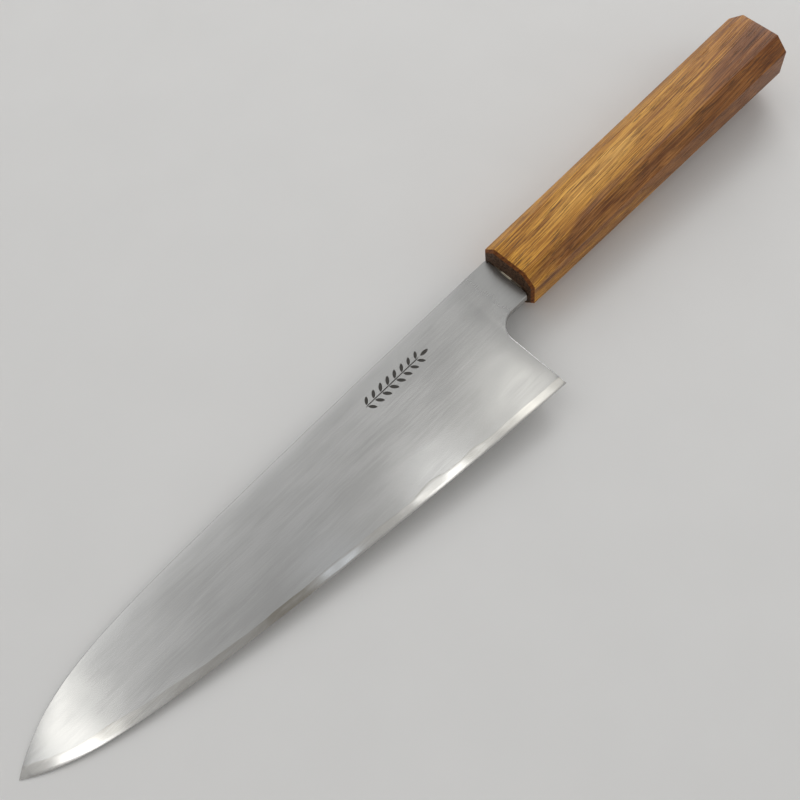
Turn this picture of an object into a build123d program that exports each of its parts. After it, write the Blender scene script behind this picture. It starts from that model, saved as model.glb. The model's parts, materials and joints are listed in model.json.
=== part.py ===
from build123d import *
import os
from math import atan2, degrees

# Gyuto-style chef knife with a hidden tang and an octagonal one-piece wooden handle.
# All sizes are in millimetres.  The knife is designed in its own frame:
#   +X from the point towards the butt, with x = 0 just behind the front face of the handle,
#   +Y from the cutting edge towards the spine, with y = 0 on the handle's axis,
#   +Z out of the left side of the blade, with z = 0 in the middle of the blade.
# At the end everything is tipped by a few degrees, so that the knife lies as it lies on a
# worktop: on the front edge of the handle's right-hand flat and on the point of the blade.

# ---- blade profile ---------------------------------------------------------------------
# Along the blade, share is 0 where x is 0 and 1 at the point.
TIP_X = -225.2
HEEL_X = -18.1
NECK_BOTTOM = -10.3
NOTCH_RADIUS = 8.0              # inside corner between the neck and the heel's back edge
SPINE_HEIGHT = 10.4             # the spine is almost straight, then drops to the point
SPINE_FALL, SPINE_FALL_POWER = 3.4, 1.5
SPINE_DROP, SPINE_DROP_POWER = 16.7, 11.2
EDGE_HEIGHT = -43.1             # the edge rises evenly, with a gentle belly, then sweeps up
EDGE_RISE = 12.8
EDGE_BELLY, EDGE_BELLY_POWER = 12.4, 2
EDGE_SWEEP, EDGE_SWEEP_POWER = 8.2, 14
CORE_BAND = 3.2                 # height of bare core steel along the cutting edge
CORE_BAND_GROWTH = 1.3          # what the sweep of the edge adds to it, measured straight up
CORE_BAND_POWER = 6
PAST_TIP = 1.02                 # the blade is lofted a little past its point, then cut
STATION_COUNT = 14

# ---- blade thickness -------------------------------------------------------------------
NECK_HALF = 1.5                 # half of the thickness at the neck and along the tang
CORE_HALF = 0.25                # half of the hard core layer
EDGE_HALF = 0.06                # half of the flat left at the cutting edge
CLAD_STEP = 0.06                # thickness at which the soft cladding ends, above the bare core
DISTAL_TAPER = 0.62             # share of the spine thickness lost evenly towards the point
POINT_THINNING = 0.16           # further share lost close to the point
THINNING_POWER = 6
BELLY_SHARE = 0.4               # how far down from the spine the sides stay nearly parallel
BELLY_THICKNESS = 0.92

# ---- neck, shoulders and hidden tang ----------------------------------------------------
NECK_JOIN_X = -9.0              # where the ground blade starts, just in front of the neck
SHOULDER_TOP_X = -1.7           # the shoulders stop just short of the handle, a bit askew
SHOULDER_BOTTOM_X = -2.4
TANG_ROOT_X = -4.0
TANG_LENGTH = 88.0
TANG_HALF_ROOT = 5.2
TANG_HALF_END = 2.8
TANG_END_SLOPE = 3.0

# ---- handle -----------------------------------------------------------------------------
FRONT_X, BUTT_X = -1.4, 137.1
FRONT_HEIGHT, FRONT_WIDTH, FRONT_LEG = 23.4, 19.8, 4.6
BUTT_HEIGHT, BUTT_WIDTH, BUTT_LEG = 26.2, 21.2, 5.2
FRONT_BEVEL = 1.2
BUTT_BEVEL = 0.9

# ---- slot in the handle, adhesive round the tang and seal at its mouth ------------------------
SLOT_DEPTH = 92.0
SLOT_HEIGHT = 13.0
SLOT_WIDTH = 3.6
SEAL_HALF_HEIGHT = 7.5          # the seal fills the gap between the shoulders and the handle
SEAL_HALF_WIDTH = 1.9

# ---- how the knife lies ---------------------------------------------------------------------
BLADE_CONTACT = (-221.0, -0.37)  # x and z of the lowest place near the point

ABOVE_SPINE = 12.0              # cutting bodies reach past the spine, the edge and the sides
BELOW_EDGE = -60.0
PAST_SIDES = 5.0


def cross_plane(x):
    """Plane across the knife: its first direction is +Y and its second is +Z."""
    return Plane(origin=(x, 0, 0), x_dir=(0, 1, 0), z_dir=(1, 0, 0))


def section(x, points):
    return cross_plane(x) * make_face(Polyline(*points, close=True))


def slab(outline, z_low, z_high):
    """A flat outline in XY made into a solid between two heights."""
    return Pos(0, 0, z_low) * extrude(outline, z_high - z_low)


# ---- blade --------------------------------------------------------------------------------
def spine_y(share):
    return SPINE_HEIGHT - SPINE_FALL * share**SPINE_FALL_POWER - SPINE_DROP * share**SPINE_DROP_POWER


def edge_y(share):
    belly = EDGE_BELLY * share**EDGE_BELLY_POWER
    return EDGE_HEIGHT + EDGE_RISE * share + belly + EDGE_SWEEP * share**EDGE_SWEEP_POWER


def band_height(share):
    return CORE_BAND + CORE_BAND_GROWTH * share**CORE_BAND_POWER


def spine_half(share):
    """Half of the blade's thickness along the spine, thinner towards the point."""
    return NECK_HALF * (1 - DISTAL_TAPER * share - POINT_THINNING * share**THINNING_POWER)


def station_shares():
    first = NECK_JOIN_X / TIP_X
    step = (PAST_TIP - first) / (STATION_COUNT - 1)
    return [first + step * count for count in range(STATION_COUNT)]


def core_section(share):
    edge = edge_y(share)
    band_top = edge + band_height(share)
    return section(share * TIP_X, [
        (edge, -EDGE_HALF), (edge, EDGE_HALF), (band_top, CORE_HALF),
        (ABOVE_SPINE, CORE_HALF), (ABOVE_SPINE, -CORE_HALF), (band_top, -CORE_HALF),
    ])


def cladding_section(share):
    edge = edge_y(share)
    band_top = edge + band_height(share)
    half = spine_half(share)
    belly = SPINE_HEIGHT - BELLY_SHARE * (SPINE_HEIGHT - edge)
    return section(share * TIP_X, [
        (band_top, CORE_HALF), (ABOVE_SPINE, CORE_HALF), (ABOVE_SPINE, half),
        (belly, half * BELLY_THICKNESS), (band_top, CORE_HALF + CLAD_STEP),
    ])


def blade_cutter():
    """The blade's profile as a tall prism: spine, point, heel and the finger notch."""
    spine = [(share * TIP_X, spine_y(share)) for share in station_shares()]
    notch_start = (HEEL_X + NOTCH_RADIUS, NECK_BOTTOM)
    notch_end = (HEEL_X, NECK_BOTTOM - NOTCH_RADIUS)
    join_bottom = (NECK_JOIN_X, NECK_BOTTOM)
    below_heel = (HEEL_X, BELOW_EDGE)
    below_tip = (spine[-1][0], BELOW_EDGE)
    sides = Curve() + [
        Spline(*spine),
        Polyline(spine[-1], below_tip, below_heel, notch_end),
        RadiusArc(notch_end, notch_start, NOTCH_RADIUS),
        Polyline(notch_start, join_bottom, spine[0]),
    ]
    return slab(make_face(sides), -PAST_SIDES, PAST_SIDES)


def neck_and_tang():
    """Flat outline of the neck with its shoulders, and of the tang that the handle hides."""
    neck_top = spine_y(NECK_JOIN_X / TIP_X)
    neck = Polyline(
        (NECK_JOIN_X, neck_top), (SHOULDER_TOP_X, neck_top),
        (SHOULDER_BOTTOM_X, NECK_BOTTOM), (NECK_JOIN_X, NECK_BOTTOM), close=True)
    return make_face(neck) + tang_outline()


def tang_outline():
    return make_face(Polyline(
        (TANG_ROOT_X, TANG_HALF_ROOT),
        (TANG_LENGTH - TANG_END_SLOPE, TANG_HALF_END),
        (TANG_LENGTH, 0),
        (TANG_LENGTH - TANG_END_SLOPE, -TANG_HALF_END),
        (TANG_ROOT_X, -TANG_HALF_ROOT), close=True))


def make_core():
    blade = loft([core_section(share) for share in station_shares()])
    return (blade & blade_cutter()) + slab(neck_and_tang(), -CORE_HALF, CORE_HALF)


def make_left_cladding():
    blade = loft([cladding_section(share) for share in station_shares()])
    return (blade & blade_cutter()) + slab(neck_and_tang(), CORE_HALF, NECK_HALF)


# ---- handle ---------------------------------------------------------------------------------
def octagon(x, height, width, leg, inset=0.0):
    """Corners of an octagon across the handle; inset moves every side in by the same distance."""
    tall = height / 2 - inset
    wide = width / 2 - inset
    corner = leg - inset * (2 - 2**0.5)
    quarter = [(tall, wide - corner), (tall - corner, wide)]
    half = quarter + [(-y, z) for y, z in reversed(quarter)]
    return [(x, y, z) for y, z in half] + [(x, y, -z) for y, z in reversed(half)]


def make_handle():
    """Flat facets between four octagons: the front bevel, the long flats and the butt bevel."""
    rings = [
        octagon(FRONT_X, FRONT_HEIGHT, FRONT_WIDTH, FRONT_LEG, FRONT_BEVEL),
        octagon(FRONT_X + FRONT_BEVEL, FRONT_HEIGHT, FRONT_WIDTH, FRONT_LEG),
        octagon(BUTT_X - BUTT_BEVEL, BUTT_HEIGHT, BUTT_WIDTH, BUTT_LEG),
        octagon(BUTT_X, BUTT_HEIGHT, BUTT_WIDTH, BUTT_LEG, BUTT_BEVEL),
    ]
    facets = [Face(Wire.make_polygon(rings[0])), Face(Wire.make_polygon(rings[-1]))]
    for ring, next_ring in zip(rings, rings[1:]):
        for corner in range(len(ring)):
            facets.append(Face(Wire.make_polygon([
                ring[corner - 1], ring[corner], next_ring[corner], next_ring[corner - 1]])))
    return Solid(Shell(facets)) - tang_slot()


# ---- inside the handle ----------------------------------------------------------------------
def tang_slot():
    """A milled slot with round ends, open at the handle's front face."""
    return extrude(cross_plane(FRONT_X) * SlotOverall(SLOT_HEIGHT, SLOT_WIDTH), SLOT_DEPTH)


def tang_slab():
    return slab(neck_and_tang(), -NECK_HALF, NECK_HALF)


def make_adhesive():
    """What fills the slot round the tang."""
    return tang_slot() - tang_slab()


def shoulder_x(y):
    """Where the slanted end of the neck is at a given height."""
    neck_top = spine_y(NECK_JOIN_X / TIP_X)
    share = (neck_top - y) / (neck_top - NECK_BOTTOM)
    return SHOULDER_TOP_X + share * (SHOULDER_BOTTOM_X - SHOULDER_TOP_X)


def make_mouth_seal():
    """The bead between the shoulders and the wood, a little thicker than the neck."""
    bead = make_face(Polyline(
        (FRONT_X, SEAL_HALF_HEIGHT), (shoulder_x(SEAL_HALF_HEIGHT), SEAL_HALF_HEIGHT),
        (shoulder_x(-SEAL_HALF_HEIGHT), -SEAL_HALF_HEIGHT), (FRONT_X, -SEAL_HALF_HEIGHT), close=True))
    return slab(bead, -SEAL_HALF_WIDTH, SEAL_HALF_WIDTH) - tang_slab()


# ---- assembly ---------------------------------------------------------------------------------
def rest_place(parts):
    """Tips the knife onto its two contacts, then puts the origin under its middle."""
    handle_contact = (FRONT_X + FRONT_BEVEL, -FRONT_WIDTH / 2)
    run = handle_contact[0] - BLADE_CONTACT[0]
    drop = BLADE_CONTACT[1] - handle_contact[1]
    tipped = Rot(0, -degrees(atan2(drop, run)), 0)
    box = Compound([tipped * part for part in parts.values()]).bounding_box()
    return Pos(-box.center().X, -box.center().Y, -box.min.Z) * tipped


left_cladding = make_left_cladding()
knife = {
    "core_steel": make_core(),
    "cladding_left": left_cladding,
    "cladding_right": mirror(left_cladding, about=Plane.XY),
    "handle": make_handle(),
    "tang_adhesive": make_adhesive(),
    "mouth_seal": make_mouth_seal(),
}
place = rest_place(knife)

os.makedirs("parts", exist_ok=True)
for name, part in knife.items():
    export_step(place * part, f"parts/{name}.step")
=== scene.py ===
import json
from math import cos, hypot, pi, radians, sin, sqrt

import bmesh
import bpy
import numpy as np
from mathutils import Matrix, Quaternion, Vector, geometry, noise


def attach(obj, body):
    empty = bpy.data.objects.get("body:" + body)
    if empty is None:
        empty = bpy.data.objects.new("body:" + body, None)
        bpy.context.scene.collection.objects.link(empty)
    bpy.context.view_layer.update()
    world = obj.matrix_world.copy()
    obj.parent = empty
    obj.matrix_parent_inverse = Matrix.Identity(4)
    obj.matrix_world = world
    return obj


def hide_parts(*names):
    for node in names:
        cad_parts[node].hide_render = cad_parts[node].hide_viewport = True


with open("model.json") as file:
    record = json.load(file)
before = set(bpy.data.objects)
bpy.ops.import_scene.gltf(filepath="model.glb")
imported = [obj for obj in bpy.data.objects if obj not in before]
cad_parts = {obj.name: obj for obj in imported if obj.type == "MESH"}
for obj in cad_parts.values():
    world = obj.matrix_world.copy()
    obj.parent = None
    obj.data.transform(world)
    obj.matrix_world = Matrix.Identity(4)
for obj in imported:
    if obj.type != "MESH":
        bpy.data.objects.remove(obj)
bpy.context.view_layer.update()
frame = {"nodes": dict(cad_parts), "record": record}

# The knife is modelled in its own frame, in millimetres: +X towards the butt with x = 0 just
# behind the handle's front face, +Y towards the spine, +Z out of the blade's left side.
MM = 0.001
FRONT_X, BUTT_X = -1.4, 137.1


# ---- the knife's own frame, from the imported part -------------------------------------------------
def knife_place():
    """Turns and moves the knife's own frame, in metres, into the row frame."""
    butt = next(m for m in frame["record"]["mounts"] if m["name"] == "butt_face")
    along = Vector(butt["axis"]).normalized()
    across = Vector((0, 1, 0))
    out = along.cross(across)
    place = Matrix((along, across, out)).transposed().to_4x4()
    place.translation = Vector(butt["pos_m"]) - along * BUTT_X * MM
    return place


PLACE = knife_place()


def local_box(node):
    """Lowest and highest corners of a CAD node in the knife's own frame, in millimetres."""
    back = PLACE.inverted()
    points = np.array([back @ v.co for v in frame["nodes"][node].data.vertices]) / MM
    return points.min(0), points.max(0)


# ---- driving dimensions --------------------------------------------------------------------------
TIP_X = local_box("core_steel")[0][0]
TANG_LENGTH = local_box("core_steel")[1][0]
NECK_HALF = local_box("cladding_left")[1][2]        # half of the thickness at the neck
CORE_HALF = local_box("core_steel")[1][2]           # half of the hard core layer
BUTT_HALF_HEIGHT, BUTT_HALF_WIDTH = local_box("handle")[1][1:]
SLOT_HALF_HEIGHT, SLOT_HALF_WIDTH = local_box("tang_adhesive")[1][1:]
SLOT_END_X = local_box("tang_adhesive")[1][0]
SEAL_HALF_HEIGHT, SEAL_HALF_WIDTH = local_box("mouth_seal")[1][1:]

HEEL_X = -18.1
NECK_BOTTOM = -10.3
NOTCH_RADIUS = 8.0
SPINE_HEIGHT = 10.4
SPINE_FALL, SPINE_FALL_POWER = 3.4, 1.5
SPINE_DROP, SPINE_DROP_POWER = 16.7, 11.2
EDGE_HEIGHT, EDGE_RISE = -43.1, 12.8
EDGE_BELLY, EDGE_BELLY_POWER = 12.4, 2
EDGE_SWEEP, EDGE_SWEEP_POWER = 8.2, 14
CORE_BAND, CORE_BAND_GROWTH, CORE_BAND_POWER = 3.2, 1.3, 6
# The lamination line's small waves (height, length, start) and wide swells (place, height, reach).
BAND_WAVES = ((0.14, 6.3, 0.0), (0.10, 3.1, 1.3), (0.05, 1.17, 0.0))
BAND_SWELLS = ((-74, 1.2, 5), (-56, 0.6, 4), (-150, -0.9, 16), (-196, 0.6, 9))
DISTAL_TAPER, POINT_THINNING, THINNING_POWER = 0.62, 0.16, 6
SHOULDER_TOP_X, SHOULDER_BOTTOM_X = -1.55, -2.25
SHOULDER_ROUNDING = 0.8
TANG_HALF_ROOT, TANG_HALF_END, TANG_END_SLOPE = 5.1, 2.8, 3.0

NECK_BLEND = 6.5            # past the heel the ground sides run out into the flat neck over this length
GRIND_POWER = 2.4           # how round the sides are between the spine and the lamination line
CLAD_STEP = 0.04            # the soft cladding stands this proud of the core along the line
EDGE_HALF = 0.02            # half of the thickness left at the cutting edge
FINE_BEVEL = 0.35           # height of the sharpening bevel
FINE_BEVEL_HALF = 0.07
SPINE_ROLL, SPINE_ROLL_REACH = 0.15, 1.6    # the sides roll over gently just below the spine
EASING = 0.35               # radius worn on to the spine, the neck and the heel's back edge
EASING_SHARE = 0.7          # the easing takes at most this share of what stands over the core
EASING_RINGS = (0.05, 0.12, 0.22, 0.34, 0.48)
RING_CLEARANCE = 0.9        # a ring's points keep this share of their distance from the whole outline

BLADE_GRID = 1.0            # spacing of the points inside the blade's faces
GRID_CLEARANCE = 0.35       # share of that spacing kept free round the outermost ring
GRID_END_X = 4              # behind this the blade is only the plain tang, inside the handle
OUTLINE_STEP, ROOT_STEP, TANG_STEP = 0.9, 0.4, 8
NOTCH_POINTS, CORNER_STEPS = 18, 8
POINT_CLEARANCE = 0.15      # inner points keep this far from the core's outline and the ornament
BAND_STEP = 0.7             # spacing of the points along the bare band
BAND_ROWS = (0.3, 0.5, 0.75, 1.0)           # rows of points, as shares of the band's height
BAND_TIP_GAP, BAND_HEEL_GAP = 0.3, 0.2      # the rows stop this far from the band's ends
POINT_SEARCH = (0.9, 1.005)                 # shares of the blade's length that hold its point
HALVINGS = 60               # of that stretch, to find the point

TRIANGLES_INSIDE = 1        # delaunay_2d_cdt's setting for triangles within the outline only
SAME_POINT = 1e-6           # points closer than this are one point to it
TINY = 1e-12                # keeps a segment of no length from dividing by zero

FRONT_HALF_HEIGHT, FRONT_HALF_WIDTH, FRONT_LEG = 11.7, 9.9, 4.6
BUTT_LEG = 5.2
FRONT_BEVEL = 1.2
BUTT_BEVEL = 0.9
FRONT_BEVEL_END, BUTT_BEVEL_START = FRONT_X + FRONT_BEVEL, BUTT_X - BUTT_BEVEL
# Rings of points round the handle's ends: place along the handle, and inset from its flats.
FRONT_RINGS = ((FRONT_X, FRONT_BEVEL), (FRONT_X + 0.12, FRONT_BEVEL - 0.2),
               (FRONT_BEVEL_END - 0.22, 0.2), (FRONT_BEVEL_END - 0.08, 0.06), (FRONT_BEVEL_END + 0.15, 0.0))
BUTT_RINGS = ((BUTT_BEVEL_START - 0.35, 0.0), (BUTT_BEVEL_START, 0.05), (BUTT_BEVEL_START + 0.3, 0.2),
              (BUTT_X - 0.3, BUTT_BEVEL - 0.25), (BUTT_X - 0.06, BUTT_BEVEL - 0.02),
              (BUTT_X, BUTT_BEVEL + 0.25))
MIDDLE_RINGS, MIDDLE_START, MIDDLE_END = 30, 5, BUTT_X - 5
FRONT_CUT_BANDS, BUTT_CUT_BANDS = 3, 2      # bands between rings that show end grain
RIDGE_RADIUS = 0.55         # the handle's long ridges are sanded round
RIDGE_STEPS = 4
RIDGE_HALF_TURN = radians(22.5)
SLOT_POINTS = 24

SEAL_POINTS = 56
SEAL_DEPTHS = (0.02, 0.2, 0.45, 0.7, 0.98)  # rings, as shares of the way from shoulders to handle
SEAL_SQUARENESS, HOLE_SQUARENESS = 0.45, 0.2    # powers: 1 is an oval, and less is squarer
SEAL_PINCH = 0.10           # how far the bead's lumps draw it in, and as much again at its middle
SEAL_LUMPS = (0.9, 0.7, 1.4)    # how closely the lumps follow each other up, out and along
SEAL_LUMPS_START = 3
HOLE_GAP_HEIGHT, HOLE_GAP_WIDTH = 0.05, 0.02    # room between the bead and the tang


# ---- blade shape ---------------------------------------------------------------------------------
def spine_y(x):
    share = x / TIP_X
    return SPINE_HEIGHT - SPINE_FALL * share**SPINE_FALL_POWER - SPINE_DROP * share**SPINE_DROP_POWER


def edge_y(x):
    share = x / TIP_X
    belly = EDGE_BELLY * share**EDGE_BELLY_POWER
    return EDGE_HEIGHT + EDGE_RISE * share + belly + EDGE_SWEEP * share**EDGE_SWEEP_POWER


def band_top(x):
    """The lamination line: where the cladding ends, wavy from forging."""
    share = x / TIP_X
    even = CORE_BAND + CORE_BAND_GROWTH * share**CORE_BAND_POWER
    wave = sum(height * np.sin(x / length + start) for height, length, start in BAND_WAVES)
    swell = sum(height * np.exp(-((x - place) / reach) ** 2) for place, height, reach in BAND_SWELLS)
    return edge_y(x) + even + wave + swell


def spine_half(x):
    """Half of the blade's thickness along its spine, which thins towards the point."""
    share = x / TIP_X
    return NECK_HALF * (1 - DISTAL_TAPER * share - POINT_THINNING * share**THINNING_POWER)


def face_height(x, y):
    """Height of the ground side over the blade's middle plane."""
    share = np.clip(x / TIP_X, 0, 1)
    low = edge_y(np.minimum(x, HEEL_X)) + CORE_BAND + CORE_BAND_GROWTH * share**CORE_BAND_POWER
    rise = np.clip((y - low) / (SPINE_HEIGHT - low), 0, 1)
    half = spine_half(np.minimum(x, 0))
    ground = CORE_HALF + CLAD_STEP
    ground = ground + (half - ground) * (1 - (1 - rise) ** GRIND_POWER)
    below = np.maximum(spine_y(np.clip(x, TIP_X, 0)) - y, 0)
    ground = ground - SPINE_ROLL * np.exp(-below / SPINE_ROLL_REACH) * half / NECK_HALF
    blend = np.clip((x - HEEL_X) / NECK_BLEND, 0, 1)
    return ground + (NECK_HALF - ground) * blend**3 * (10 - 15 * blend + 6 * blend**2)


def core_height(x, y):
    """Height of the bare core between the lamination line and the cutting edge."""
    place = np.clip(x, TIP_X, HEEL_X)
    above = np.maximum(y - edge_y(place), 0)
    band = np.maximum(band_top(place) - edge_y(place), FINE_BEVEL)
    fine = EDGE_HALF + (FINE_BEVEL_HALF - EDGE_HALF) * above / FINE_BEVEL
    main = FINE_BEVEL_HALF + (CORE_HALF - FINE_BEVEL_HALF) * (above - FINE_BEVEL) / (band - FINE_BEVEL)
    return np.minimum(np.where(above < FINE_BEVEL, fine, main), CORE_HALF)


def shoulder_x(y):
    """The slanted line of the shoulders, just in front of the handle."""
    slope = (SHOULDER_TOP_X - SHOULDER_BOTTOM_X) / (spine_y(SHOULDER_TOP_X) - NECK_BOTTOM)
    return SHOULDER_BOTTOM_X + slope * (y - NECK_BOTTOM)


def line(start, end, step=OUTLINE_STEP):
    """Points from start up to, and not including, end."""
    count = max(1, round(hypot(end[0] - start[0], end[1] - start[1]) / step))
    return [(start[0] + (end[0] - start[0]) * k / count, start[1] + (end[1] - start[1]) * k / count)
            for k in range(count)]


def rounded(before, corner, after, radius):
    """Points of an arc that takes the place of a corner between two other points."""
    corner = Vector(corner)
    into = (Vector(before) - corner).normalized()
    out = (Vector(after) - corner).normalized()
    half_angle = into.angle(out) / 2
    centre = corner + (into + out).normalized() * (radius / sin(half_angle))
    setback = radius / np.tan(half_angle)
    start = corner + into * setback - centre
    end = corner + out * setback - centre
    return [tuple(centre + start.lerp(end, k / CORNER_STEPS).normalized() * radius)
            for k in range(CORNER_STEPS + 1)]


def crossing(lower):
    """Where the spine meets a lower line near the point of the blade."""
    low, high = (TIP_X * share for share in POINT_SEARCH)
    for _ in range(HALVINGS):
        middle = (low + high) / 2
        if spine_y(middle) > lower(middle):
            low = middle
        else:
            high = middle
    return low


def blade_outline(lower):
    """Outline against the clock, and for each of its points whether its edge is eased."""
    tip = crossing(lower)
    count = round((HEEL_X - tip) / OUTLINE_STEP)
    xs = np.linspace(tip, HEEL_X, count)
    bottom = [(x, lower(x)) for x in xs[:-1]]
    notch_low = (HEEL_X, NECK_BOTTOM - NOTCH_RADIUS)
    arc = [(HEEL_X + NOTCH_RADIUS * (1 - cos(a)), NECK_BOTTOM - NOTCH_RADIUS * (1 - sin(a)))
           for a in np.linspace(0, pi / 2, NOTCH_POINTS)[:-1]]
    neck_low = (HEEL_X + NOTCH_RADIUS, NECK_BOTTOM)
    shoulder_low = (SHOULDER_BOTTOM_X, NECK_BOTTOM)
    shoulder_high = (SHOULDER_TOP_X, spine_y(SHOULDER_TOP_X))
    root_low = (shoulder_x(-TANG_HALF_ROOT), -TANG_HALF_ROOT)
    root_high = (shoulder_x(TANG_HALF_ROOT), TANG_HALF_ROOT)
    spine_heel = (HEEL_X, spine_y(HEEL_X))
    end_x = TANG_LENGTH - TANG_END_SLOPE
    tang = [(end_x, -TANG_HALF_END), (TANG_LENGTH, 0), (end_x, TANG_HALF_END)]
    round_low = rounded(neck_low, shoulder_low, root_low, SHOULDER_ROUNDING)
    round_high = rounded(root_high, shoulder_high, spine_heel, SHOULDER_ROUNDING)
    plain = line(round_low[-1], root_low, ROOT_STEP) + line(root_low, tang[0], TANG_STEP) + tang + [root_high]
    plain += line(root_high, round_high[0], ROOT_STEP)[1:]
    eased_low = line((HEEL_X, lower(HEEL_X)), notch_low) + arc + line(neck_low, round_low[0]) + round_low[:-1]
    top = [(x, spine_y(x)) for x in xs[1:][::-1]]
    top = round_high[:-1] + line(round_high[-1], spine_heel) + top
    points = bottom + eased_low + plain + top
    eased = [False] * len(bottom) + [True] * len(eased_low) + [False] * len(plain) + [True] * len(top)
    return np.array(points), np.array(eased)


def distance_to(points, starts, ends):
    """Distance from each point to the nearest of many straight segments."""
    nearest = np.full(len(points), np.inf)
    for a, b in zip(starts, ends):
        run = b - a
        share = np.clip(((points - a) @ run) / max(run @ run, TINY), 0, 1)
        nearest = np.minimum(nearest, np.hypot(*(points - a - share[:, None] * run).T))
    return nearest


def inside(points, outline):
    """Which points lie inside a closed outline."""
    count = np.zeros(len(points), int)
    for a, b in zip(outline, np.roll(outline, -1, 0)):
        spans = (a[1] > points[:, 1]) != (b[1] > points[:, 1])
        with np.errstate(divide="ignore", invalid="ignore"):
            cut = a[0] + (points[:, 1] - a[1]) * (b[0] - a[0]) / (b[1] - a[1])
        count += spans & (points[:, 0] < cut)
    return count % 2 == 1


def easing_drop(points, starts, ends, room):
    """How far the rounded rim has dropped below the face at each point."""
    radius = np.minimum(EASING, EASING_SHARE * room)
    gap = np.clip(radius - distance_to(points, starts, ends), 0, radius)
    return radius - np.sqrt(np.maximum(radius**2 - gap**2, 0))


def face_points(outline, eased, grid):
    """Points inside an outline: rings along its eased rims and a grid of even triangles."""
    ahead = np.roll(outline, -1, 0) - np.roll(outline, 1, 0)
    inward = np.stack([-ahead[:, 1], ahead[:, 0]], 1) / np.hypot(*ahead.T)[:, None]
    starts, ends = outline, np.roll(outline, -1, 0)
    found = []
    for ring in EASING_RINGS:
        rim = outline[eased] + inward[eased] * ring
        clear = distance_to(rim, starts, ends) > RING_CLEARANCE * ring
        found.append(rim[clear & inside(rim, outline)])
    low, high = outline.min(0), outline.max(0)
    columns = np.arange(low[0], min(high[0], GRID_END_X), grid)
    rows = np.arange(low[1], high[1], grid * sqrt(3) / 2)
    along, across = np.meshgrid(columns, rows)
    along[1::2] += grid / 2
    even = np.stack([along.ravel(), across.ravel()], 1)
    even = even[inside(even, outline)]
    clear = distance_to(even, starts, ends) > EASING_RINGS[-1] + GRID_CLEARANCE * grid
    return np.concatenate(found + [even[clear]])


def triangulate(outline, inner, marks=()):
    """Triangles over an outline, with inner points and marks cut in as shapes of their own.

    Gives the points, the triangles, which mark each triangle is in (or none), and where each
    point of the outline went."""
    points = [Vector(p) for p in outline] + [Vector(p) for p in inner]
    loops = [list(range(len(outline)))]
    for mark in marks:
        loops.append(list(range(len(points), len(points) + len(mark))))
        points += [Vector(p) for p in mark]
    flat, _, faces, from_points, _, from_loops = geometry.delaunay_2d_cdt(
        points, [], loops, TRIANGLES_INSIDE, SAME_POINT)
    place = {source: k for k, sources in enumerate(from_points) for source in sources}
    marked = [any(loop > 0 for loop in loops_of_face) for loops_of_face in from_loops]
    return np.array([tuple(p) for p in flat]), faces, marked, [place[k] for k in range(len(outline))]


def finish_mesh(name, bm, materials, sharp_angle=35):
    """Turns a bmesh in millimetres into a smooth-shaded piece that rides on the knife."""
    bmesh.ops.recalc_face_normals(bm, faces=bm.faces)
    mesh = bpy.data.meshes.new(name)
    grain = bm.loops.layers.uv.new("across_and_along")
    for face in bm.faces:
        face.smooth = True
        for loop in face.loops:
            loop[grain].uv = (loop.vert.co.y, loop.vert.co.x)
    bmesh.ops.scale(bm, vec=(MM, MM, MM), verts=bm.verts)
    bm.transform(PLACE)
    bm.to_mesh(mesh)
    bm.free()
    mesh.set_sharp_from_angle(angle=radians(sharp_angle))
    for material in materials:
        mesh.materials.append(material)
    piece = bpy.data.objects.new(name, mesh)
    bpy.context.scene.collection.objects.link(piece)
    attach(piece, "root")
    return piece


def add_triangles(bm, points, heights, faces, flip=False):
    """Adds a sheet of triangles with each point at its height, turned over if asked."""
    verts = [bm.verts.new((x, y, z)) for (x, y), z in zip(points, heights)]
    made = [bm.faces.new([verts[k] for k in (reversed(face) if flip else face)]) for face in faces]
    return verts, made


def add_walls(bm, upper, lower):
    """Joins two closed rings of points with a band of faces."""
    for k in range(len(upper)):
        bm.faces.new((upper[k - 1], upper[k], lower[k], lower[k - 1]))


# ---- engraved sprig, the plain ornament on the left side -----------------------------------------
SPRIG_START, SPRIG_END = (-70.5, 0.8), (-40.5, 0.8)
LEAF_PAIRS = 8
LEAF_LENGTH, LEAF_WIDTH, LEAF_LEAN = 3.5, 1.35, radians(50)
LEAF_POINTS = 16
LEAF_FULLNESS = 0.3         # a power: less makes a leaf's sides fuller
LARGEST_LEAF, LEAF_SHRINK = 0.4, 0.25   # where along the stem, and how much smaller far from there
FIRST_LEAF = 1.2            # from the stem's start to the first pair
END_ROOM = 3.2              # the gap before the first pair and the gap after the last, together
STEM_HALF, STEM_STEP = 0.2, 1.5
END_LEAF_GAP, SIDE_LEAF_GAP = 0.3, 0.18
ENGRAVED_DEPTH = 0.07


def leaf(root, angle, length, width):
    """Outline of a leaf with a point at both ends, against the clock."""
    shape = []
    for k in range(LEAF_POINTS):
        turn = 2 * pi * k / LEAF_POINTS
        along = (1 - cos(turn)) / 2
        side = -sin(turn) * abs(sin(turn)) ** LEAF_FULLNESS * width / 2
        shape.append((root[0] + cos(angle) * along * length - sin(angle) * side,
                      root[1] + sin(angle) * along * length + cos(angle) * side))
    return shape


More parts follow.
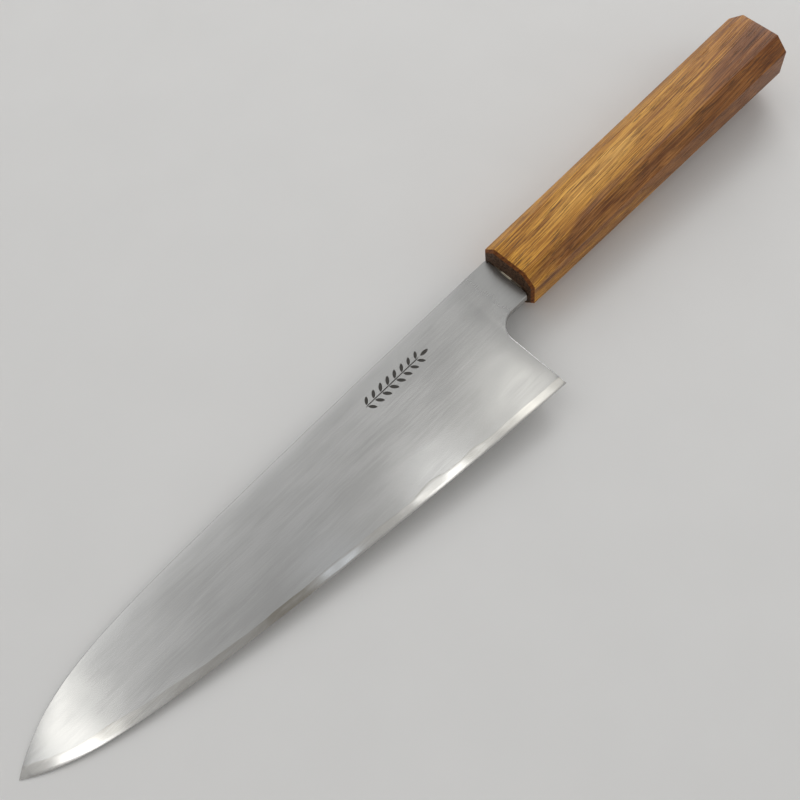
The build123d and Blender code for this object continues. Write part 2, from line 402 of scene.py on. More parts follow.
def sprig():
    """A stem with pairs of leaves and one at its end; the parts don't touch each other."""
    run = SPRIG_END[0] - SPRIG_START[0]
    stem_end = SPRIG_END[0] - LEAF_LENGTH - END_LEAF_GAP
    mid = SPRIG_START[1]
    stem = line((SPRIG_START[0], mid - STEM_HALF), (stem_end, mid - STEM_HALF), STEM_STEP)
    stem += line((stem_end, mid + STEM_HALF), (SPRIG_START[0], mid + STEM_HALF), STEM_STEP)
    shapes = [stem, leaf((stem_end + END_LEAF_GAP, mid), 0, LEAF_LENGTH, LEAF_WIDTH)]
    for k in range(LEAF_PAIRS):
        x = SPRIG_START[0] + FIRST_LEAF + (run - LEAF_LENGTH - END_ROOM) * k / (LEAF_PAIRS - 1)
        size = 1.0 - LEAF_SHRINK * abs(k / (LEAF_PAIRS - 1) - LARGEST_LEAF)
        for side in (1, -1):
            root = (x, mid + side * (STEM_HALF + SIDE_LEAF_GAP))
            shapes.append(leaf(root, side * LEAF_LEAN, LEAF_LENGTH * size, LEAF_WIDTH * size))
    return shapes


# ---- blade pieces --------------------------------------------------------------------------------
def cladding(name, materials, side, marks=()):
    """One soft steel layer: ground face, eased rims, and a flat inner face on the core."""
    outline, eased = blade_outline(band_top)
    inner = face_points(outline, eased, BLADE_GRID)
    if marks:
        shapes = [np.array(mark) for mark in marks]
        gaps = [distance_to(inner, shape, np.roll(shape, -1, 0)) for shape in shapes]
        inner = inner[np.min(gaps, axis=0) > POINT_CLEARANCE]
    points, faces, marked, rim = triangulate(outline, inner, marks)
    starts, ends = outline[eased], np.roll(outline, -1, 0)[eased]
    top = face_height(points[:, 0], points[:, 1])
    top = top - easing_drop(points, starts, ends, top - CORE_HALF)
    bm = bmesh.new()
    verts, made = add_triangles(bm, points, top * side, faces, side < 0)
    flat_points, flat_faces, _, flat_rim = triangulate(outline, [])
    flat_height = np.full(len(flat_points), CORE_HALF * side)
    base, _ = add_triangles(bm, flat_points, flat_height, flat_faces, side > 0)
    add_walls(bm, [verts[k] for k in rim], [base[k] for k in flat_rim])
    engraved = [face for face, is_marked in zip(made, marked) if is_marked]
    if engraved:
        for face in engraved:
            face.material_index = 1
        sunk = bmesh.ops.extrude_face_region(bm, geom=engraved)["geom"]
        moved = [v for v in sunk if isinstance(v, bmesh.types.BMVert)]
        bmesh.ops.translate(bm, verts=moved, vec=(0, 0, -ENGRAVED_DEPTH * side))
        bmesh.ops.delete(bm, geom=engraved, context="FACES")
    return finish_mesh(name, bm, materials)


def core(name, material):
    """The hard layer: bevels down to the cutting edge, and flat between the claddings."""
    outline, _ = blade_outline(edge_y)
    tip = crossing(band_top)
    xs = np.arange(tip + BAND_TIP_GAP, HEEL_X - BAND_HEEL_GAP, BAND_STEP)
    rows = [np.stack([xs, edge_y(xs) + FINE_BEVEL], 1)]
    for share in BAND_ROWS:
        rows.append(np.stack([xs, edge_y(xs) + share * (band_top(xs) - edge_y(xs))], 1))
    inner = np.concatenate(rows)
    clear = distance_to(inner, outline, np.roll(outline, -1, 0)) > POINT_CLEARANCE
    points, faces, _, rim = triangulate(outline, inner[clear & inside(inner, outline)])
    height = core_height(points[:, 0], points[:, 1])
    bm = bmesh.new()
    upper, _ = add_triangles(bm, points, height, faces)
    lower, _ = add_triangles(bm, points, -height, faces, True)
    add_walls(bm, [upper[k] for k in rim], [lower[k] for k in rim])
    return finish_mesh(name, bm, [material])


# ---- handle --------------------------------------------------------------------------------------
def handle_ring(x, inset):
    """Octagon with round ridges across the handle, moved in from the flats by an inset."""
    share = (x - FRONT_X) / (BUTT_X - FRONT_X)
    tall = FRONT_HALF_HEIGHT + (BUTT_HALF_HEIGHT - FRONT_HALF_HEIGHT) * share - inset
    wide = FRONT_HALF_WIDTH + (BUTT_HALF_WIDTH - FRONT_HALF_WIDTH) * share - inset
    leg = FRONT_LEG + (BUTT_LEG - FRONT_LEG) * share - inset * (2 - sqrt(2))
    corners = [(tall, wide - leg), (tall - leg, wide), (leg - tall, wide), (-tall, wide - leg),
               (-tall, leg - wide), (leg - tall, -wide), (tall - leg, -wide), (tall, leg - wide)]
    ring = []
    for k, corner in enumerate(corners):
        here = Vector(corner)
        before = (Vector(corners[k - 1]) - here).normalized()
        after = (Vector(corners[(k + 1) % len(corners)]) - here).normalized()
        setback = RIDGE_RADIUS * np.tan(RIDGE_HALF_TURN)
        inward = (before + after).normalized()
        centre = here + inward * hypot(RIDGE_RADIUS, setback)
        start = here + before * setback - centre
        end = here + after * setback - centre
        for step in range(RIDGE_STEPS + 1):
            arm = start.lerp(end, step / RIDGE_STEPS).normalized() * RIDGE_RADIUS
            ring.append((x, centre.x + arm.x, centre.y + arm.y))
    return ring


def slot_ring(x):
    """The round-ended slot across the handle."""
    ring = []
    straight = SLOT_HALF_HEIGHT - SLOT_HALF_WIDTH
    for k in range(SLOT_POINTS):
        angle = 2 * pi * (k + 0.5) / SLOT_POINTS
        y = SLOT_HALF_WIDTH * cos(angle) + (straight if cos(angle) > 0 else -straight)
        ring.append((x, y, SLOT_HALF_WIDTH * sin(angle)))
    return ring


def handle(name, wood, end_grain):
    """The octagon with both end bevels, cut open in front by the slot for the tang."""
    bm = bmesh.new()
    middle = [(x, 0.0) for x in np.linspace(MIDDLE_START, MIDDLE_END, MIDDLE_RINGS)]
    stations = [*FRONT_RINGS, *middle, *BUTT_RINGS]
    rings = [[bm.verts.new(p) for p in handle_ring(x, inset)] for x, inset in stations]
    butt_cut = len(rings) - 1 - BUTT_CUT_BANDS
    for k, (ring, next_ring) in enumerate(zip(rings, rings[1:])):
        for c in range(len(ring)):
            face = bm.faces.new((ring[c - 1], ring[c], next_ring[c], next_ring[c - 1]))
            face.material_index = 1 if k < FRONT_CUT_BANDS or k >= butt_cut else 0
    butt_cap = bm.faces.new(rings[-1])
    butt_cap.material_index = 1
    mouth = [bm.verts.new(p) for p in slot_ring(FRONT_X)]
    depth = [bm.verts.new(p) for p in slot_ring(SLOT_END_X)]
    add_walls(bm, mouth, depth)
    bm.faces.new(depth)
    outer, hole = rings[0], mouth
    flat = [(v.co.y, v.co.z) for v in outer + hole]
    loops = [list(range(len(outer))), list(range(len(outer), len(flat)))]
    _, _, faces, sources, _, from_loops = geometry.delaunay_2d_cdt(
        [Vector(p) for p in flat], [], loops, TRIANGLES_INSIDE, SAME_POINT)
    for face, owners in zip(faces, from_loops):
        if 1 in owners:
            continue
        front = bm.faces.new([(outer + hole)[sources[k][0]] for k in face])
        front.material_index = 1
    return finish_mesh(name, bm, [wood, end_grain], sharp_angle=50)


# ---- seal at the handle's mouth ------------------------------------------------------------------
def squarish(part, power):
    """A cosine or a sine, bent so that the ring that the two make is nearly square."""
    return abs(part) ** power * (1 if part > 0 else -1)


def seal_point(y, z, share):
    """A point of the bead, a share of the way from the slanted shoulders to the handle's front."""
    shoulder = shoulder_x(y)
    return shoulder + (FRONT_X - shoulder) * share, y, z


def seal(name, material):
    """A lumpy bead round the tang, between the slanted shoulders and the handle's front."""
    bm = bmesh.new()
    outer_rings, inner_rings = [], []
    for share in SEAL_DEPTHS:
        outer, inner = [], []
        pinch = SEAL_PINCH + SEAL_PINCH * sin(pi * share)
        for k in range(SEAL_POINTS):
            angle = 2 * pi * (k + 0.5) / SEAL_POINTS
            y = SEAL_HALF_HEIGHT * squarish(cos(angle), SEAL_SQUARENESS)
            z = SEAL_HALF_WIDTH * squarish(sin(angle), SEAL_SQUARENESS)
            up, out, along = SEAL_LUMPS
            lump = 0.5 + 0.5 * noise.noise(Vector((y * up, z * out + SEAL_LUMPS_START, share * along)))
            shrink = 1 - pinch * lump
            outer.append(bm.verts.new(seal_point(y * shrink, z * shrink, share)))
            y = (TANG_HALF_ROOT + HOLE_GAP_HEIGHT) * squarish(cos(angle), HOLE_SQUARENESS)
            z = (NECK_HALF + HOLE_GAP_WIDTH) * squarish(sin(angle), HOLE_SQUARENESS)
            inner.append(bm.verts.new(seal_point(y, z, share)))
        outer_rings.append(outer)
        inner_rings.append(inner)
    for rings in (outer_rings, inner_rings):
        for ring, next_ring in zip(rings, rings[1:]):
            add_walls(bm, ring, next_ring)
    add_walls(bm, outer_rings[0], inner_rings[0])
    add_walls(bm, outer_rings[-1], inner_rings[-1])
    return finish_mesh(name, bm, [material], sharp_angle=60)


# ---- materials: a few helpers --------------------------------------------------------------------
def add(tree, kind, inputs=None, **settings):
    """Adds a node, sets its properties, and sets or links its inputs by name or number."""
    made = tree.nodes.new(kind)
    for name, value in settings.items():
        setattr(made, name, value)
    for key, value in (inputs or {}).items():
        if isinstance(value, bpy.types.NodeSocket):
            tree.links.new(value, made.inputs[key])
        else:
            made.inputs[key].default_value = value
    return made


def new_material(name):
    material = bpy.data.materials.new(name)
    material.use_nodes = True
    tree = material.node_tree
    tree.nodes.clear()
    shader = add(tree, "ShaderNodeBsdfPrincipled")
    output = add(tree, "ShaderNodeOutputMaterial")
    tree.links.new(shader.outputs[0], output.inputs[0])
    return material, tree, shader


def knife_mm(tree, stretch=(1, 1, 1)):
    """The place on the knife in millimetres, squeezed by a factor along each axis."""
    inputs = {"Vector": add(tree, "ShaderNodeTexCoord").outputs["Object"],
              "Location": PLACE.translation, "Rotation": PLACE.to_euler(),
              "Scale": [MM / factor for factor in stretch]}
    return add(tree, "ShaderNodeMapping", inputs, vector_type="TEXTURE").outputs[0]


def knife_axes(tree):
    """The three coordinates on the knife, each on its own."""
    return add(tree, "ShaderNodeSeparateXYZ", {0: knife_mm(tree)}).outputs


def vector_math(tree, operation, a, b):
    return add(tree, "ShaderNodeVectorMath", {0: a, 1: b}, operation=operation).outputs[0]


def noise_at(tree, vector, detail=2.0, roughness=0.5, scale=1.0, distortion=0.0):
    inputs = {"Vector": vector, "Scale": scale, "Detail": detail, "Roughness": roughness,
              "Distortion": distortion}
    return add(tree, "ShaderNodeTexNoise", inputs)


def math(tree, operation, a, b=0.0, clamp=False):
    return add(tree, "ShaderNodeMath", {0: a, 1: b}, operation=operation, use_clamp=clamp).outputs[0]


def spread(tree, value, low, high, new_low=0.0, new_high=1.0, smooth=True):
    """Maps a value from one range to another and holds it inside."""
    kind = "SMOOTHSTEP" if smooth else "LINEAR"
    inputs = {"Value": value, "From Min": low, "From Max": high, "To Min": new_low, "To Max": new_high}
    return add(tree, "ShaderNodeMapRange", inputs, interpolation_type=kind).outputs[0]


def mix(tree, factor, a, b, blend="MIX"):
    inputs = {0: factor, 6: a, 7: b}        # the numbers of the node's colour sockets
    return add(tree, "ShaderNodeMix", inputs, data_type="RGBA", blend_type=blend).outputs[2]


def rgb(red, green, blue):
    return (red, green, blue, 1.0)


# ---- materials: steel ----------------------------------------------------------------------------
# How far each noise is squeezed along, across and through the blade: more is finer.
CLOUDS, WAVES = (0.035, 0.10, 0.10), (0.05, 0.11, 0.11)
STREAKS, BRUSH_LINES = (0.05, 1.5, 1.43), (0.083, 6.7, 6.3)
BRUSH_DEPTH = 0.02
# Towards the handle the steel gets rougher, and its colour is darkened there as painted shade: from where to
# where, and by how much.
ROUGHER_FROM_TO, ROUGHER = (-20, -2), 0.23
PAINTED_SHADE_FROM_TO, NECK_PAINTED_SHADE = (-26, -12), (0.84, 0.84, 0.84)


def brushed_steel(name, light, dark, roughness, anisotropy, brushing, waviness):
    """Satin steel brushed along the blade: hand-ground, so cloudy and very slightly wavy."""
    material, tree, shader = new_material(name)
    clouds = noise_at(tree, knife_mm(tree, CLOUDS), detail=3).outputs[0]
    streaks = noise_at(tree, knife_mm(tree, STREAKS), detail=4, roughness=0.65).outputs[0]
    lines = noise_at(tree, knife_mm(tree, BRUSH_LINES), detail=2, roughness=0.6).outputs[0]
    tone = math(tree, "ADD", math(tree, "MULTIPLY", clouds, 0.6), math(tree, "MULTIPLY", streaks, 0.4))
    colour = mix(tree, spread(tree, tone, 0.35, 0.65), rgb(*dark), rgb(*light))
    rough = math(tree, "ADD", spread(tree, clouds, 0.3, 0.7, roughness - 0.02, roughness + 0.02),
                 spread(tree, streaks, 0.25, 0.75, -0.02, 0.02))
    along = knife_axes(tree)[0]
    rough = math(tree, "ADD", rough, spread(tree, along, *ROUGHER_FROM_TO, 0, ROUGHER))
    # painted shade: the steel's colour is darkened towards the handle
    colour = mix(tree, spread(tree, along, *PAINTED_SHADE_FROM_TO), colour, rgb(*NECK_PAINTED_SHADE), "MULTIPLY")
    waves = noise_at(tree, knife_mm(tree, WAVES), detail=1, roughness=0.4).outputs[0]
    wavy = add(tree, "ShaderNodeBump", {"Strength": 1.0, "Distance": waviness * MM, "Height": waves})
    height = math(tree, "ADD", math(tree, "MULTIPLY", lines, 0.5), math(tree, "MULTIPLY", streaks, 0.5))
    brushed = add(tree, "ShaderNodeBump", {"Strength": brushing, "Distance": BRUSH_DEPTH * MM,
                                           "Height": height, "Normal": wavy.outputs[0]})
    across = add(tree, "ShaderNodeTangent", direction_type="UV_MAP", uv_map="across_and_along")
    links = {"Base Color": colour, "Roughness": rough, "Normal": brushed.outputs[0],
             "Tangent": across.outputs[0]}
    for socket, value in links.items():
        tree.links.new(value, shader.inputs[socket])
    shader.inputs["Metallic"].default_value = 1.0
    shader.inputs["Anisotropic"].default_value = anisotropy
    return material, tree, shader, colour


def satin_steel():
    """The cladding is softer, so its brushing is coarser and its shine duller."""
    return brushed_steel("satin_cladding", light=(0.59, 0.59, 0.58), dark=(0.545, 0.545, 0.535),
                         roughness=0.17, anisotropy=0.75, brushing=0.08, waviness=0.07)[0]


# Where along the blade the patina fades in, grows strong, and fades out again.
FAINT_PATINA, STRONG_PATINA, PATINA_END = (-184, -172), (-150, -137), (-130, -116)
FAINT_SHARE, STRONG_SHARE = 0.4, 0.6
PATINA_BLOTCHES, PATINA_BROWN = (0.12, 0.5, 0.5), (0.37, 0.345, 0.30)


def bare_core_steel():
    """The core is harder and polished brighter; along the belly it has a faint warm patina."""
    material, tree, shader, colour = brushed_steel(
        "bare_core", light=(0.60, 0.595, 0.575), dark=(0.54, 0.53, 0.505), roughness=0.12,
        anisotropy=0.5, brushing=0.04, waviness=0.06)
    along = knife_axes(tree)[0]
    blotches = noise_at(tree, knife_mm(tree, PATINA_BLOTCHES), detail=3).outputs[0]
    patina = math(tree, "ADD", spread(tree, along, *FAINT_PATINA, 0, FAINT_SHARE),
                  spread(tree, along, *STRONG_PATINA, 0, STRONG_SHARE))
    patina = math(tree, "MULTIPLY", patina, spread(tree, along, *reversed(PATINA_END)))
    patina = math(tree, "MULTIPLY", patina, spread(tree, blotches, 0.3, 0.6, 0.45, 0.95))
    tree.links.new(mix(tree, patina, colour, rgb(*PATINA_BROWN)), shader.inputs["Base Color"])
    return material


def etched_steel():
    """The floor of the engraved ornament, darkened with oxide."""
    material, tree, shader = new_material("etched_ornament")
    grit = noise_at(tree, knife_mm(tree, (3.0, 3.0, 3.0)), detail=4, roughness=0.7).outputs[0]
    colour = mix(tree, spread(tree, grit, 0.3, 0.7), rgb(0.030, 0.027, 0.024), rgb(0.085, 0.080, 0.072))
    tree.links.new(colour, shader.inputs["Base Color"])
    tree.links.new(spread(tree, grit, 0.3, 0.7, 0.5, 0.75), shader.inputs["Roughness"])
    shader.inputs["Metallic"].default_value = 0.4
    return material


# ---- materials: wood and resin -------------------------------------------------------------------
GRAIN_LEAN = 0.045          # how much the grain climbs towards the spine over its length
GRAIN_DRIFT = (0.011, 0.035, 0.035)
FIGURE_AND_SHEEN_PLACE = (46, -0.5, 9)    # the middle of a paler patch on the left flat: the wood's figure with a painted highlight on it
FIGURE_AND_SHEEN_SQUEEZE = (1 / 36, 1 / 6, 1 / 14)
# How far each noise is squeezed along and across the grain: more is finer.
ZONES, BANDS = (0.014, 0.13, 0.13), (0.012, 0.55, 0.55)
WOOD_STREAKS, FIBRES, PORES = (0.026, 1.5, 1.5), (0.042, 2.7, 2.7), (0.095, 2.9, 2.9)
BROWNER_ALONG, PAINTED_SHADE_DOWN = 0.0019, 0.013     # per millimetre: browner to the butt, and away from the spine as painted shade on the lower side
BUTT_SHADE_START = 80

GOLD, DEEP_GOLD, PALE_GOLD_SHEEN = rgb(0.80, 0.408, 0.058), rgb(0.60, 0.282, 0.041), rgb(1.0, 0.57, 0.13)
BROWN, DEEP_BROWN, PORE_BROWN = rgb(0.46, 0.200, 0.052), rgb(0.28, 0.114, 0.034), rgb(0.095, 0.040, 0.012)
BUTT_SHADE = rgb(0.80, 0.69, 0.53)              # these three darken the wood below them
STREAK_SHADE, FIBRE_SHADE = rgb(0.62, 0.52, 0.40), rgb(0.60, 0.50, 0.38)


def grain_place(tree, wander):
    """The place in the handle in millimetres, along a leaning grain that wanders sideways."""
    place = knife_mm(tree)
    parts = add(tree, "ShaderNodeSeparateXYZ", {0: place})
    lean = add(tree, "ShaderNodeCombineXYZ", {1: math(tree, "MULTIPLY", parts.outputs[0], -GRAIN_LEAN)})
    drift = noise_at(tree, knife_mm(tree, GRAIN_DRIFT), detail=2).outputs[1]
    centred = vector_math(tree, "SUBTRACT", drift, (0.5, 0.5, 0.5))
    push = vector_math(tree, "MULTIPLY", centred, (0, wander, wander))
    leaning = vector_math(tree, "ADD", place, lean.outputs[0])
    return vector_math(tree, "ADD", leaning, push)


def grain_noise(tree, grain, squeeze, detail, roughness):
    place = vector_math(tree, "MULTIPLY", grain, squeeze)
    return noise_at(tree, place, detail=detail, roughness=roughness).outputs[0]


def handle_wood():
    """Golden open-pored hardwood that turns browner towards the butt, oiled to a low shine."""
    material, tree, shader = new_material("handle_wood")
    along, up, _ = knife_axes(tree)
    grain, straight = grain_place(tree, wander=5), grain_place(tree, wander=2.5)
    zones = grain_noise(tree, grain, ZONES, 2, 0.5)
    # the wood browns towards the butt, and away from the spine as painted shade on the lower side
    lean = math(tree, "SUBTRACT", math(tree, "MULTIPLY", along, BROWNER_ALONG),
                math(tree, "MULTIPLY", up, PAINTED_SHADE_DOWN))
    zones = math(tree, "ADD", zones, lean)
    bands = grain_noise(tree, grain, BANDS, 4, 0.6)
    streaks = grain_noise(tree, straight, WOOD_STREAKS, 3, 0.6)
    fibres = grain_noise(tree, straight, FIBRES, 4, 0.7)
    pores = grain_noise(tree, straight, PORES, 2, 0.6)
    gold = mix(tree, spread(tree, bands, 0.36, 0.64), GOLD, DEEP_GOLD)
    brown = mix(tree, spread(tree, bands, 0.36, 0.64), BROWN, DEEP_BROWN)
    figure_and_sheen = vector_math(tree, "SUBTRACT", grain, FIGURE_AND_SHEEN_PLACE)
    figure_and_sheen = vector_math(tree, "MULTIPLY", figure_and_sheen, FIGURE_AND_SHEEN_SQUEEZE)
    figure_and_sheen = add(tree, "ShaderNodeVectorMath", {0: figure_and_sheen}, operation="LENGTH").outputs["Value"]
    # painted highlight: a paler gold patch in the middle of the left flat, partly the wood's own figure
    gold = mix(tree, spread(tree, figure_and_sheen, 1.0, 0.1), gold, PALE_GOLD_SHEEN)
    body = mix(tree, spread(tree, zones, 0.57, 0.78), gold, brown)
    body = mix(tree, spread(tree, along, BUTT_SHADE_START, BUTT_X), body, BUTT_SHADE, "MULTIPLY")
    streaked = mix(tree, spread(tree, streaks, 0.42, 0.64), body, STREAK_SHADE, "MULTIPLY")
    fine = mix(tree, spread(tree, fibres, 0.40, 0.64), streaked, FIBRE_SHADE, "MULTIPLY")
    pore = spread(tree, pores, 0.55, 0.65)
    colour = mix(tree, math(tree, "MULTIPLY", pore, 0.75), fine, PORE_BROWN)
    tree.links.new(colour, shader.inputs["Base Color"])
    tree.links.new(spread(tree, fibres, 0.3, 0.7, 0.38, 0.5), shader.inputs["Roughness"])
    height = math(tree, "SUBTRACT", math(tree, "MULTIPLY", fibres, 0.4), pore)
    bump = add(tree, "ShaderNodeBump", {"Strength": 0.6, "Distance": 0.07 * MM, "Height": height})
    tree.links.new(bump.outputs[0], shader.inputs["Normal"])
    shader.inputs["Specular IOR Level"].default_value = 0.3
    shader.inputs["Coat Weight"].default_value = 0.04
    shader.inputs["Coat Roughness"].default_value = 0.3
    return material


PITH = (-34.0, -26.0)       # the log's centre across the handle, from the handle's axis
RING_WIDTH = 1.9
# Early and late wood at the butt and in front, the pores, and the dull sawn face in two tones.
BUTT_WOOD = rgb(0.42, 0.190, 0.052), rgb(0.25, 0.100, 0.030)
FRONT_WOOD = rgb(0.22, 0.074, 0.018), rgb(0.14, 0.044, 0.013)
OPEN_PORE = rgb(0.035, 0.016, 0.008)
SAWN_DARK, SAWN_LIGHT = rgb(0.030, 0.014, 0.007), rgb(0.115, 0.062, 0.034)
SAWN_FADE = (FRONT_X + 0.02, FRONT_X + 0.3)     # the sawn face ends just behind the front


def end_grain_wood():
    """Wood cut across the grain: growth rings, open pores, and a dull sawn face in front."""
    material, tree, shader = new_material("handle_end_grain")
    along, *cross_section = knife_axes(tree)
    bend = noise_at(tree, knife_mm(tree, (0.02, 0.12, 0.12)), detail=2).outputs[0]
    offsets = [math(tree, "SUBTRACT", place, pith) for place, pith in zip(cross_section, PITH)]
    away = math(tree, "SQRT", math(tree, "ADD", *[math(tree, "MULTIPLY", v, v) for v in offsets]))
    away = math(tree, "ADD", away, math(tree, "MULTIPLY", bend, 2 * RING_WIDTH))
    ring = math(tree, "FRACT", math(tree, "DIVIDE", away, RING_WIDTH))
    late_wood = math(tree, "MULTIPLY", spread(tree, ring, 0.35, 0.9), spread(tree, ring, 1.0, 0.93))
    pores = noise_at(tree, knife_mm(tree, (0.3, 3.0, 3.0)), detail=2).outputs[0]
    butt_tone = mix(tree, late_wood, *BUTT_WOOD)
    front_tone = mix(tree, late_wood, *FRONT_WOOD)
    colour = mix(tree, spread(tree, along, FRONT_X, BUTT_X), front_tone, butt_tone)
    colour = mix(tree, spread(tree, pores, 0.56, 0.66), colour, OPEN_PORE)
    dust = noise_at(tree, knife_mm(tree, (1.0, 1.3, 1.3)), detail=5, roughness=0.7).outputs[0]
    sawn = mix(tree, spread(tree, dust, 0.35, 0.65), SAWN_DARK, SAWN_LIGHT)
    colour = mix(tree, spread(tree, along, *SAWN_FADE), sawn, colour)
    tree.links.new(colour, shader.inputs["Base Color"])
    tree.links.new(spread(tree, pores, 0.3, 0.7, 0.5, 0.65), shader.inputs["Roughness"])
    rough = math(tree, "ADD", pores, math(tree, "MULTIPLY", dust, 2.0))
    bump = add(tree, "ShaderNodeBump", {"Strength": 0.6, "Distance": 0.10 * MM, "Height": rough})
    tree.links.new(bump.outputs[0], shader.inputs["Normal"])
    shader.inputs["Specular IOR Level"].default_value = 0.15
    return material


def resin(name, light, dark, pale_from=None, pale_to=None):
    """Set resin, lumpy and dull, in two tones; the lighter one may lie between two heights only."""
    material, tree, shader = new_material(name)
    lumps = noise_at(tree, knife_mm(tree, (0.9, 0.9, 0.9)), detail=4, roughness=0.6).outputs[0]
    patches = noise_at(tree, knife_mm(tree, (0.22, 0.22, 0.22)), detail=3, roughness=0.6).outputs[0]
    pale = spread(tree, patches, 0.3, 0.7)
    if pale_from is not None:
        height = knife_axes(tree)[1]
        ragged = math(tree, "ADD", height, math(tree, "MULTIPLY", lumps, 2.0))
        pale = math(tree, "MULTIPLY", spread(tree, ragged, pale_from, pale_from + 1),
                    spread(tree, ragged, pale_to + 1, pale_to))
    tree.links.new(mix(tree, pale, rgb(*dark), rgb(*light)), shader.inputs["Base Color"])
    tree.links.new(spread(tree, lumps, 0.3, 0.7, 0.45, 0.65), shader.inputs["Roughness"])
    bump = add(tree, "ShaderNodeBump", {"Strength": 0.6, "Distance": 0.15 * MM, "Height": lumps})
    tree.links.new(bump.outputs[0], shader.inputs["Normal"])
    return material


FLOOR_SIZE = 6              # metres
FLOOR_DARK, FLOOR_LIGHT = rgb(0.74, 0.735, 0.725), rgb(0.78, 0.775, 0.765)


def floor_material():
    """Plain pale matt floor with a faint speckle."""
    material, tree, shader = new_material("studio_floor")
    place = add(tree, "ShaderNodeTexCoord").outputs["Object"]
    speckle = noise_at(tree, place, detail=3, scale=30).outputs[0]
    colour = mix(tree, speckle, FLOOR_DARK, FLOOR_LIGHT)
    tree.links.new(colour, shader.inputs["Base Color"])
    shader.inputs["Roughness"].default_value = 0.85
    return material


# ---- the knife's pieces --------------------------------------------------------------------------
def build_knife():
    satin = satin_steel()
    left = cladding("blade_cladding_left", [satin, etched_steel()], 1, sprig())
    right = cladding("blade_cladding_right", [satin], -1)
    middle = core("blade_core", bare_core_steel())
    grip = handle("handle_body", handle_wood(), end_grain_wood())
    bead = seal("mouth_seal_bead", resin("mouth_seal_resin", (0.62, 0.56, 0.43), (0.10, 0.075, 0.05),
                                         pale_from=-1.2, pale_to=3.2))
    stands_for = [(left, "cladding_left", "cladding_steel"), (right, "cladding_right", "cladding_steel"),
                  (middle, "core_steel", "core_steel"), (grip, "handle", "handle_wood"),
                  (bead, "mouth_seal", "mouth_seal")]
    for piece, node, slot in stands_for:
        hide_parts(node)
    adhesive = frame["nodes"]["tang_adhesive"]
    adhesive.data.materials.clear()
    adhesive.data.materials.append(resin("tang_adhesive_resin", (0.50, 0.40, 0.24), (0.34, 0.26, 0.15)))


# ---- camera, floor and light ---------------------------------------------------------------------
CAMERA_PLACE = (-0.1107, -0.1192, 0.3218)
CAMERA_AIM = (-0.0140, 0.0121, 0.0)
CAMERA_ROLL = radians(9.26)
CAMERA_LENS, CAMERA_SENSOR = 47.25, 36.0    # millimetres
CAMERA_NEAR = 0.01


def make_camera():
    data = bpy.data.cameras.new("camera")
    data.lens = CAMERA_LENS
    data.sensor_width = CAMERA_SENSOR
    data.clip_start = CAMERA_NEAR
    camera = bpy.data.objects.new("camera", data)
    bpy.context.scene.collection.objects.link(camera)
    camera.location = CAMERA_PLACE
    look = Vector(CAMERA_AIM) - Vector(CAMERA_PLACE)
    camera.rotation_mode = "QUATERNION"
    camera.rotation_quaternion = look.to_track_quat("-Z", "Y") @ Quaternion((0, 0, 1), -CAMERA_ROLL)
    bpy.context.scene.camera = camera


def make_floor():
    bpy.ops.mesh.primitive_plane_add(size=FLOOR_SIZE)
    floor = bpy.context.object
    floor.name = "floor"
    floor.data.materials.append(floor_material())


WHITE, WARM, COOL = (1.0, 1.0, 1.0), (1.0, 0.98, 0.93), (0.78, 0.87, 1.0)
DOME_LIGHT = 0.44           # brightness of the plain dome between its soft lamps
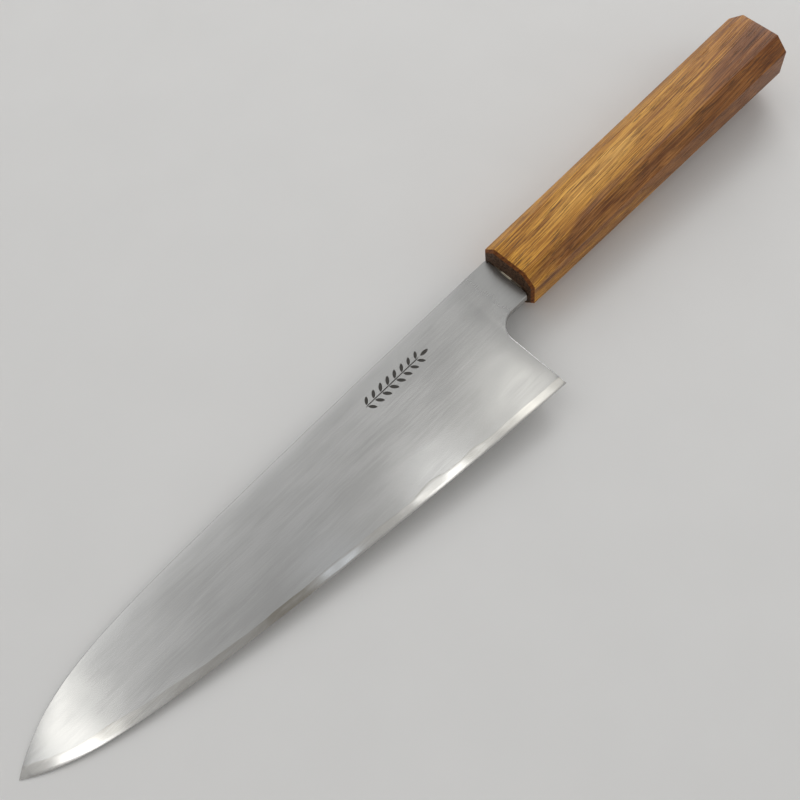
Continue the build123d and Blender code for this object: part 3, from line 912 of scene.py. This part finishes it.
# The soft lamps on the dome: name, direction along X and Y, reach along X and Y, brightness, tint.
DOME_LAMPS = (
    ("overhead", (-0.04, 0.58), (0.46, 0.15), 0.65, WHITE),
    ("tip_glow", (-0.18, 0.41), (0.07, 0.18), 0.28, WHITE),
    ("tip_strip", (-0.238, 0.36), (0.018, 0.130), 2.35, WARM),
    ("tip_lamp", (-0.267, 0.215), (0.020, 0.058), 4.0, WHITE),
    ("point_glow", (-0.30, 0.21), (0.05, 0.06), 0.3, WHITE),
    ("cool_lamp", (0.029, 0.173), (0.014, 0.024), 1.7, COOL),
    ("edge_lamp", (0.157, 0.160), (0.019, 0.040), 3.6, WHITE),
    ("heel_glow", (0.20, 0.19), (0.117, 0.083), 0.52, WARM),
    ("heel_strip", (0.268, 0.175), (0.019, 0.080), 1.8, WARM),
    ("front_fill", (0.0, -0.68), (0.50, 0.25), 0.6, WARM))
KEY_PLACE, KEY_SIZE, KEY_BRIGHTNESS = (1.35, 0.85, 0.95), 1.0, 4.2


def make_dome():
    """A plain white studio dome with soft round-edged lamps on it."""
    world = bpy.data.worlds.new("studio_dome")
    bpy.context.scene.world = world
    world.use_nodes = True
    tree = world.node_tree
    direction = add(tree, "ShaderNodeTexCoord").outputs["Generated"]
    light = add(tree, "ShaderNodeCombineXYZ", {axis: DOME_LIGHT for axis in range(3)}).outputs[0]
    for name, toward, reach, brightness, tint in DOME_LAMPS:
        centred = vector_math(tree, "SUBTRACT", direction, (*toward, 0))
        scaled = vector_math(tree, "MULTIPLY", centred, (1 / reach[0], 1 / reach[1], 0))
        squared = add(tree, "ShaderNodeVectorMath", {0: scaled, 1: scaled}, operation="DOT_PRODUCT")
        falloff = math(tree, "EXPONENT", math(tree, "MULTIPLY", squared.outputs["Value"], -1.0))
        glow = math(tree, "MULTIPLY", falloff, brightness)
        tinted = add(tree, "ShaderNodeVectorMath", {0: tint, "Scale": glow}, operation="SCALE", label=name)
        light = vector_math(tree, "ADD", light, tinted.outputs[0])
    tree.links.new(light, tree.nodes["Background"].inputs["Color"])


def make_key():
    """One large soft lamp beyond the butt, which gives the knife its shadow."""
    data = bpy.data.lights.new("key", "AREA")
    data.size = KEY_SIZE
    data.energy = KEY_BRIGHTNESS * pi * KEY_SIZE**2
    lamp = bpy.data.objects.new("key", data)
    bpy.context.scene.collection.objects.link(lamp)
    lamp.location = KEY_PLACE
    lamp.rotation_mode = "QUATERNION"
    lamp.rotation_quaternion = (-Vector(KEY_PLACE)).to_track_quat("-Z", "Y")


make_camera()
build_knife()
make_floor()
make_dome()
make_key()
bpy.context.scene.view_settings.view_transform = "Standard"
